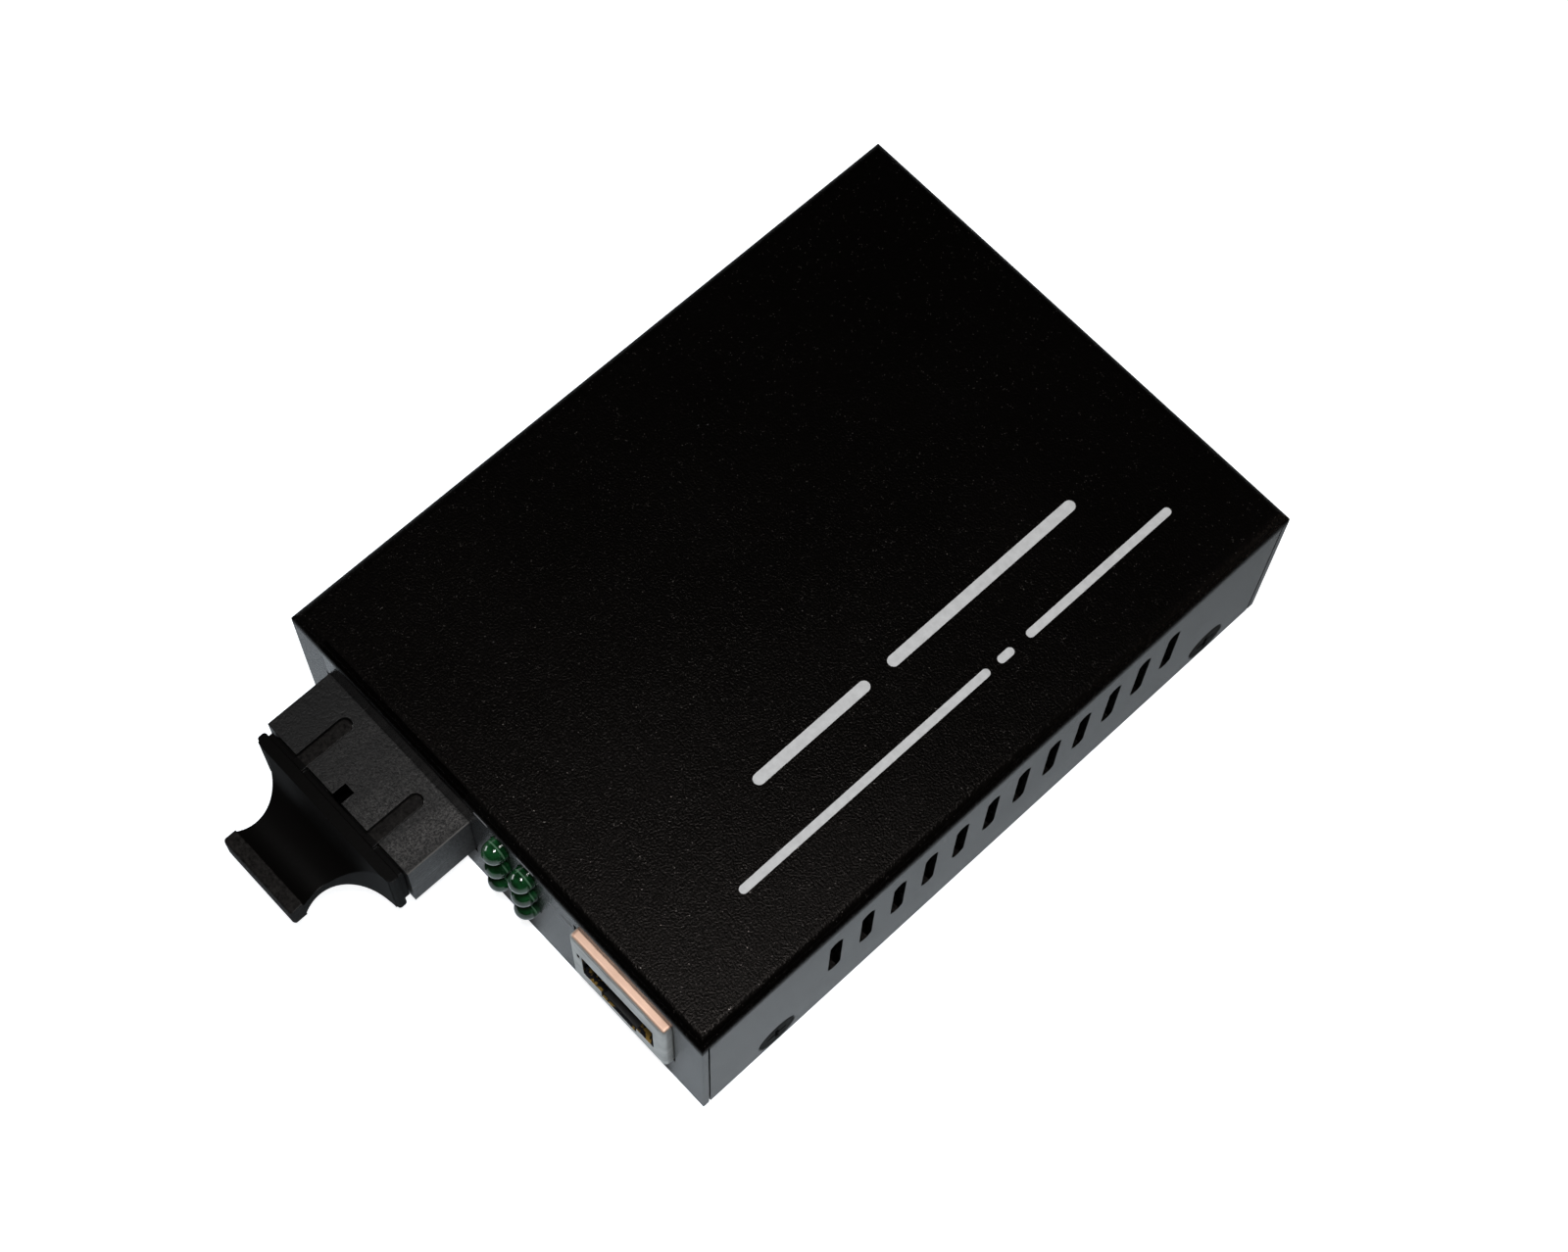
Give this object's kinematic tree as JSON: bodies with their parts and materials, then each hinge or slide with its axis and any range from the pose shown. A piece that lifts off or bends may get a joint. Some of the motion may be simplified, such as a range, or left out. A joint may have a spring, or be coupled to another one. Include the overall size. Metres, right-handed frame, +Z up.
{
  "type": "fibre media converter",
  "caption": "Small black folded-steel network converter box with an optical duplex port under a dust plug, indicator lamps, a copper network jack, side vents and a rear power inlet.",
  "frame": {"origin": "centre of the case's underside, the plane it stands on", "axes": "+X across the front towards the network jack, +Y from the front panel to the back, +Z up"},
  "size_m": [0.07, 0.116, 0.027],
  "materials": {
    "black_powder_coat": "satin black powder coat",
    "tray_coat": "satin black powder coat",
    "black_screw": "black oxide",
    "zinc_screw": "zinc plated",
    "brass_spacer": "machined",
    "board_green": "solder mask",
    "port_black_plastic": "fine texture",
    "plug_black_plastic": "satin moulding",
    "latch_plastic": "plain moulding",
    "white_ceramic": "ground",
    "gold_plate": "thin plating",
    "contact_plate": "bright plating",
    "jack_plate": "bright nickel plate",
    "jack_black_plastic": "plain moulding",
    "lamp_green": "diffused green epoxy",
    "holder_plastic": "plain moulding",
    "chip_black": "moulded epoxy",
    "capacitor_sleeve": "shrink sleeve",
    "ferrite": "pressed ferrite"
  },
  "bodies": {
    "case": {"base_tray": "tray_coat", "board_screw_1": "zinc_screw", "board_screw_2": "zinc_screw", "board_screw_3": "zinc_screw", "board_screw_4": "zinc_screw", "capacitor_1": "capacitor_sleeve", "capacitor_2": "capacitor_sleeve", "circuit_board": "board_green", "converter_chip": "chip_black", "converter_leads": "contact_plate", "cover_screw_1": "black_screw", "cover_screw_2": "black_screw", "cover_screw_3": "black_screw", "cover_screw_4": "black_screw", "crystal": "jack_plate", "detector_can": "gold_plate", "ferrule_sleeve_1": "white_ceramic", "ferrule_sleeve_2": "white_ceramic", "inductor": "ferrite", "inlet_contact": "contact_plate", "inlet_housing": "holder_plastic", "inlet_pin": "contact_plate", "jack_contacts": "contact_plate", "jack_insulator": "jack_black_plastic", "jack_shield": "jack_plate", "laser_can": "gold_plate", "latch_insert_1": "latch_plastic", "latch_insert_2": "latch_plastic", "led_holder": "holder_plastic", "led_leads_1": "contact_plate", "led_leads_2": "contact_plate", "led_leads_3": "contact_plate", "led_leads_4": "contact_plate", "led_leads_5": "contact_plate", "led_leads_6": "contact_plate", "led_lens_1": "lamp_green", "led_lens_2": "lamp_green", "led_lens_3": "lamp_green", "led_lens_4": "lamp_green", "led_lens_5": "lamp_green", "led_lens_6": "lamp_green", "magnetics": "chip_black", "magnetics_leads": "contact_plate", "optic_board": "board_green", "optic_lower_shell": "port_black_plastic", "optic_pins": "contact_plate", "optic_upper_shell": "port_black_plastic", "regulator": "chip_black", "regulator_leads": "contact_plate", "standoff_1": "brass_spacer", "standoff_2": "brass_spacer", "standoff_3": "brass_spacer", "standoff_4": "brass_spacer", "top_cover": "black_powder_coat"},
    "plug": {"dust_plug": "plug_black_plastic"}
  },
  "joints": [
    {"name": "plug_pull", "type": "slide", "parent": "case", "child": "plug", "axis": [0, -1, 0], "range_m": [0, 0.025]}
  ]
}
